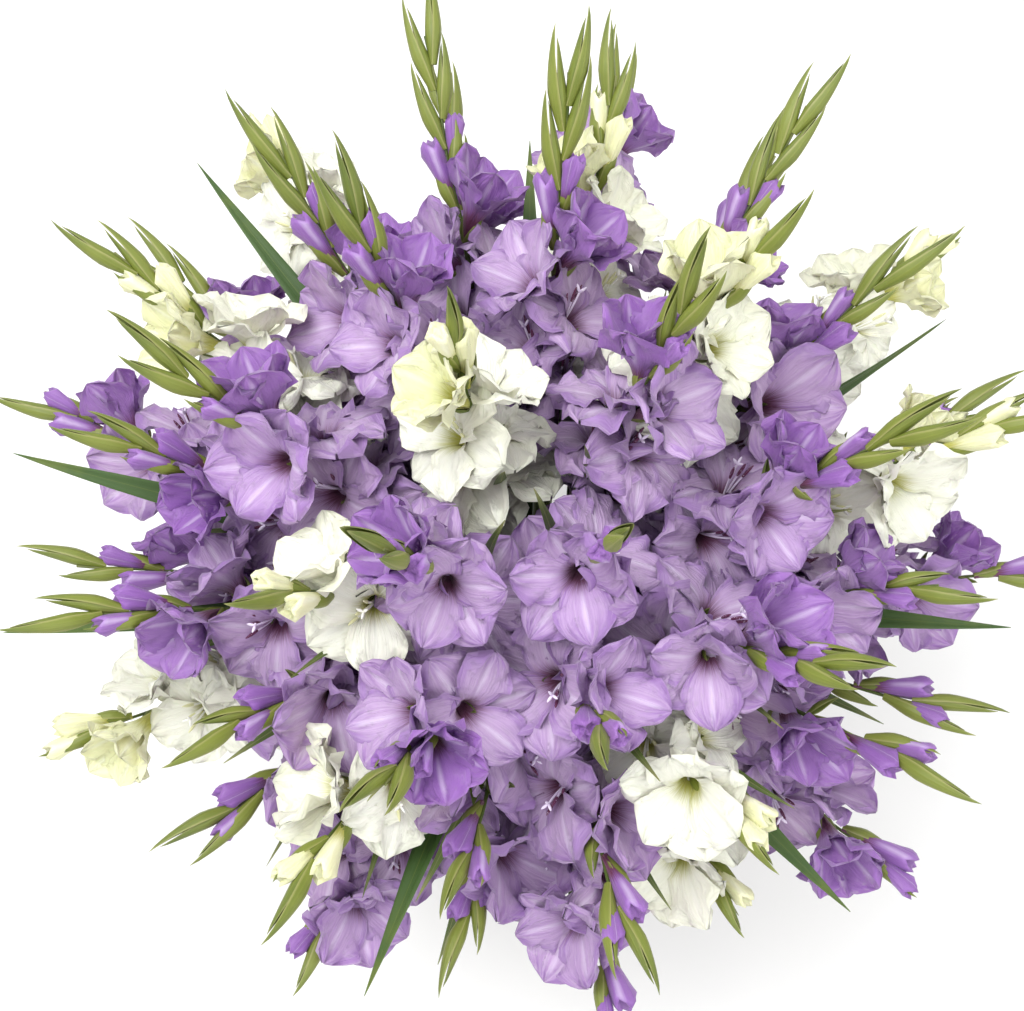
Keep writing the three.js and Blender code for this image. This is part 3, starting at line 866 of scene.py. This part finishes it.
def twine_material(name, dark, light):
    """Natural twine: fibres run along the strands, with darker painted shade in the grooves between them."""
    material, wires, shader = new_material(name)
    across, along = wires.uv()
    stretched = wires.vector(wires.math("MULTIPLY", across, 60.0), wires.math("MULTIPLY", along, 900.0))
    fibres = wires.noise(stretched, 1.0, 4.0)
    patches = wires.noise(wires.place(), 160.0, 3.0)
    fibrous, patchy = wires.math("MULTIPLY", fibres, 0.8), wires.math("MULTIPLY", patches, 0.3)
    share = wires.math("ADD", fibrous, patchy, clamp=True)
    # The darker fibre streaks mix in the shade colour: painted shade in the grooves; the patches are the
    # twine's own uneven tone.
    wires.feed(shader.inputs["Base Color"], wires.mix(share, dark, light))
    shader.inputs["Roughness"].default_value = 0.9
    bump(wires, shader, fibres, 0.8, 0.0006)
    return material


def rgb(colour):
    """A panel colour as a shader colour."""
    return (*colour, 1.0)


# ---------------------------------------------------------------- panel settings


def colour_property(name, description, default):
    return bpy.props.FloatVectorProperty(
        name=name, description=description, subtype="COLOR", size=3, min=0, max=1, default=default
    )


class GladiolusSizes(bpy.types.PropertyGroup):
    floret_length: bpy.props.FloatProperty(
        name="Floret length",
        description="Tepals of the lowest floret, from the stem",
        default=0.082,
        unit="LENGTH",
    )
    open_share: bpy.props.FloatProperty(
        name="Open share",
        description="Share of a spike's florets and buds that are open",
        default=0.39,
        min=0.2,
    )
    half_open_florets: bpy.props.IntProperty(
        name="Half-open florets", description="Above the open ones of a long spike", default=2, min=1
    )
    bract_length: bpy.props.FloatProperty(
        name="Bract length", description="Of the bracts round a bud", default=0.079, unit="LENGTH"
    )
    bract_width: bpy.props.FloatProperty(
        name="Bract width", description="Across a closed bud in its bracts", default=0.0132, unit="LENGTH"
    )
    stem_diameter: bpy.props.FloatProperty(
        name="Stem diameter", description="At the cut end", default=0.0078, unit="LENGTH"
    )
    leaf_width: bpy.props.FloatProperty(
        name="Leaf width", description="Widest part of a loose leaf", default=0.026, unit="LENGTH"
    )
    twine_diameter: bpy.props.FloatProperty(
        name="Twine diameter", description="Of the tie", default=0.0032, unit="LENGTH"
    )


class GladiolusColours(bpy.types.PropertyGroup):
    lilac_pale: colour_property("Pale lilac", "Heart of a lilac tepal", (0.54, 0.395, 0.595))
    lilac_full: colour_property("Full lilac", "Rim of a lilac tepal", (0.30, 0.172, 0.41))
    lilac_young: colour_property("Young violet", "Half-open lilac florets and buds", (0.25, 0.10, 0.39))
    lilac_throat: colour_property("Lilac throat", "Inside the tube", (0.12, 0.025, 0.07))
    lilac_rib: colour_property("Lilac rib", "Midrib streak", (0.85, 0.76, 0.93))
    white_pale: colour_property("White", "Heart of a white tepal", (0.90, 0.89, 0.80))
    white_full: colour_property("Ivory", "Rim of a white tepal", (0.84, 0.84, 0.70))
    white_young: colour_property("Cream bud", "Half-open white florets and buds", (0.76, 0.76, 0.44))
    white_throat: colour_property("Yellow-green throat", "Inside a white floret's tube", (0.46, 0.45, 0.08))
    white_rib: colour_property("White rib", "Midrib of a white tepal", (0.90, 0.90, 0.84))
    bract_dark: colour_property("Stem green", "Stems and shaded bracts", (0.07, 0.108, 0.016))
    bract_light: colour_property("Bract green", "Bracts and buds at the tips", (0.19, 0.225, 0.034))
    bract_edge: colour_property("Bract rim", "Dry rim and point of a bract", (0.40, 0.38, 0.16))
    leaf_dark: colour_property("Leaf green", "Loose sword leaves", (0.045, 0.10, 0.018))
    leaf_light: colour_property("Leaf light", "Lighter streaks of a leaf", (0.16, 0.26, 0.05))
    # The twine's darker colour is painted shade in the grooves between its fibres.
    twine_painted_shade: colour_property("Twine shade", "Grooves of the twine", (0.22, 0.14, 0.06))
    twine_light: colour_property("Twine", "Fibres of the twine", (0.58, 0.44, 0.25))


class StageSettings(bpy.types.PropertyGroup):
    camera_height: bpy.props.FloatProperty(
        name="Camera elevation", description="Above the horizon", default=math.radians(70), subtype="ANGLE"
    )
    camera_distance: bpy.props.FloatProperty(
        name="Camera distance",
        description="From the point that it looks at",
        default=1.35,
        unit="LENGTH",
    )
    lens: bpy.props.FloatProperty(
        name="Lens", description="Focal length in millimetres", default=53.0, min=10
    )
    floor_size: bpy.props.FloatProperty(
        name="Floor", description="Side of the floor", default=12.0, unit="LENGTH"
    )


# ---------------------------------------------------------------- operators

# Name, place from the point that the spikes radiate from, diameter and power of each lamp.
LIGHTS = (("key_light", (-0.7, 0.2, 2.1), 1.6, 42), ("fill_light", (1.5, -1.2, 1.5), 2.2, 20))
DAYLIGHT = 0.95
AIM_ABOVE, AIM_LEFT = 0.085, 0.016  # of the camera's target, from that point


def petals_for(slot):
    """The petal material of a slot, made once."""
    name = "White petal" if slot == "white_petals" else "Lilac petal"
    made = bpy.data.materials.get(name)
    if made:
        return made
    c = bpy.context.scene.gladiolus_colours
    if slot == "white_petals":
        looks = (c.white_pale, c.white_full, c.white_young, c.white_throat, c.white_rib)
    else:
        looks = (c.lilac_pale, c.lilac_full, c.lilac_young, c.lilac_throat, c.lilac_rib)
    return petal_material(name, *map(rgb, looks), throat_end=0.5)


class BUNCH_OT_florets(bpy.types.Operator):
    """Make the open and half-open florets of every spike"""

    bl_idname = "gladioli.florets"
    bl_label = "Florets"

    def execute(self, context):
        for spike in SPIKES:
            build_florets(spike, petals_for(SLOT_OF[spike.name]))
        return {"FINISHED"}


class BUNCH_OT_stamens(bpy.types.Operator):
    """Make the stamens and styles of every spike"""

    bl_idname = "gladioli.stamens"
    bl_label = "Stamens"

    def execute(self, context):
        colours = context.scene.gladiolus_colours
        lilac = rgb(colours.lilac_rib), rgb(colours.lilac_throat)
        white = rgb(colours.white_rib), rgb(colours.white_young)
        looks = {
            "lilac_petals": stamen_material("Lilac stamen", *lilac),
            "white_petals": stamen_material("White stamen", *white),
        }
        for spike in SPIKES:
            build_stamens(spike, looks[SLOT_OF[spike.name]])
        return {"FINISHED"}


class BUNCH_OT_greens(bpy.types.Operator):
    """Make the stem and bracts of every spike"""

    bl_idname = "gladioli.greens"
    bl_label = "Stems and bracts"

    def execute(self, context):
        c = context.scene.gladiolus_colours
        greens = map(rgb, (c.bract_dark, c.bract_light, c.bract_edge))
        look = green_material("Spike green", *greens, rib_width=0.08, count=16.0)
        for spike in SPIKES:
            build_greens(spike, look)
        return {"FINISHED"}


class BUNCH_OT_buds(bpy.types.Operator):
    """Make the coloured tips of the closed buds"""

    bl_idname = "gladioli.buds"
    bl_label = "Buds"

    def execute(self, context):
        for spike in SPIKES:
            build_buds(spike, petals_for(SLOT_OF[spike.name]))
        return {"FINISHED"}


class BUNCH_OT_leaves(bpy.types.Operator):
    """Make the loose sword leaves"""

    bl_idname = "gladioli.leaves"
    bl_label = "Leaves"

    def execute(self, context):
        c = context.scene.gladiolus_colours
        greens = map(rgb, (c.leaf_dark, c.leaf_light, c.bract_light))
        look = green_material("Sword leaf", *greens, rib_width=0.03, count=34.0)
        for leaf in LEAVES:
            build_leaf(leaf, look)
        return {"FINISHED"}


class BUNCH_OT_tie(bpy.types.Operator):
    """Make the wound twine and its knot"""

    bl_idname = "gladioli.tie"
    bl_label = "Tie"

    def execute(self, context):
        colours = context.scene.gladiolus_colours
        build_tie(twine_material("Twine", rgb(colours.twine_painted_shade), rgb(colours.twine_light)))
        return {"FINISHED"}


class BUNCH_OT_stage(bpy.types.Operator):
    """Make the floor, the soft light and the camera that looks down on the bunch"""

    bl_idname = "gladioli.stage"
    bl_label = "Stage"

    def execute(self, context):
        stage = context.scene.gladiolus_stage
        make_floor(stage.floor_size)
        for name, offset, size, power in LIGHTS:
            make_light(name, Tie.centre + np.array(offset), size, power)
        make_world(DAYLIGHT)
        make_camera(stage)
        context.scene.view_settings.view_transform = "Standard"
        return {"FINISHED"}


def make_floor(size):
    """A plain pale ground, level with the cut ends."""
    mesh = bpy.data.meshes.new("floor")
    half = size / 2
    corners = [(-half, -half, 0), (half, -half, 0), (half, half, 0), (-half, half, 0)]
    mesh.from_pydata(corners, [], [(0, 1, 2, 3)])
    material, wires, shader = new_material("floor")
    speckle = wires.noise(wires.place(), 6.0, 3.0)
    pale = wires.mix(speckle, (0.88, 0.88, 0.87, 1), (0.92, 0.92, 0.915, 1))
    wires.feed(shader.inputs["Base Color"], pale)
    shader.inputs["Roughness"].default_value = 0.85
    mesh.materials.append(material)
    floor = bpy.data.objects.new("floor", mesh)
    bpy.context.scene.collection.objects.link(floor)


def aim_at(thing, position, target):
    """Puts a lamp or camera at a position, looking at the target."""
    thing.location = Vector(position)
    thing.rotation_euler = (Vector(target) - Vector(position)).to_track_quat("-Z", "Y").to_euler()


def make_light(name, position, size, power):
    """A soft round lamp aimed at the point that the spikes radiate from."""
    light = bpy.data.lights.new(name, "AREA")
    light.shape, light.size, light.energy = "DISK", size, power
    lamp = bpy.data.objects.new(name, light)
    bpy.context.scene.collection.objects.link(lamp)
    aim_at(lamp, position, Tie.centre)


def make_world(strength):
    """Even white light from all round."""
    world = bpy.data.worlds.new("daylight")
    world.use_nodes = True
    world.node_tree.nodes["Background"].inputs["Color"].default_value = (1, 1, 1, 1)
    world.node_tree.nodes["Background"].inputs["Strength"].default_value = strength
    bpy.context.scene.world = world


def make_camera(stage):
    """Looks down from the front, aimed a little above and left of the point that the spikes radiate from."""
    camera = bpy.data.objects.new("camera", bpy.data.cameras.new("camera"))
    camera.data.lens = stage.lens
    camera.data.clip_end = 50
    bpy.context.scene.collection.objects.link(camera)
    towards = np.array([0, -math.cos(stage.camera_height), math.sin(stage.camera_height)])
    screen_up = np.array([0, math.sin(stage.camera_height), math.cos(stage.camera_height)])
    target = Tie.centre + AIM_ABOVE * screen_up - np.array([AIM_LEFT, 0, 0])
    aim_at(camera, target + towards * stage.camera_distance, target)
    bpy.context.scene.camera = camera


class BUNCH_PT_panel(bpy.types.Panel):
    """The bunch's sizes, colours and pieces"""

    bl_label = "Gladiolus Bunch"
    bl_idname = "BUNCH_PT_panel"
    bl_space_type = "VIEW_3D"
    bl_region_type = "UI"
    bl_category = "Gladioli"

    def draw(self, context):
        scene = context.scene
        for group in (scene.gladiolus_sizes, scene.gladiolus_colours, scene.gladiolus_stage):
            column = self.layout.box().column()
            for name in group.__annotations__:
                column.prop(group, name)
        for operator in OPERATORS:
            self.layout.operator(operator.bl_idname)


OPERATORS = (
    BUNCH_OT_stage,
    BUNCH_OT_florets,
    BUNCH_OT_stamens,
    BUNCH_OT_greens,
    BUNCH_OT_buds,
    BUNCH_OT_leaves,
    BUNCH_OT_tie,
)
GROUPS = (GladiolusSizes, GladiolusColours, StageSettings)


def register():
    for item in (*GROUPS, *OPERATORS, BUNCH_PT_panel):
        bpy.utils.register_class(item)
    bpy.types.Scene.gladiolus_sizes = bpy.props.PointerProperty(type=GladiolusSizes)
    bpy.types.Scene.gladiolus_colours = bpy.props.PointerProperty(type=GladiolusColours)
    bpy.types.Scene.gladiolus_stage = bpy.props.PointerProperty(type=StageSettings)


def unregister():
    del bpy.types.Scene.gladiolus_stage
    del bpy.types.Scene.gladiolus_colours
    del bpy.types.Scene.gladiolus_sizes
    for item in (BUNCH_PT_panel, *reversed(OPERATORS), *reversed(GROUPS)):
        bpy.utils.unregister_class(item)


def main():
    register()
    for operator in OPERATORS:
        group, name = operator.bl_idname.split(".")
        getattr(getattr(bpy.ops, group), name)()


if __name__ == "__main__":
    main()
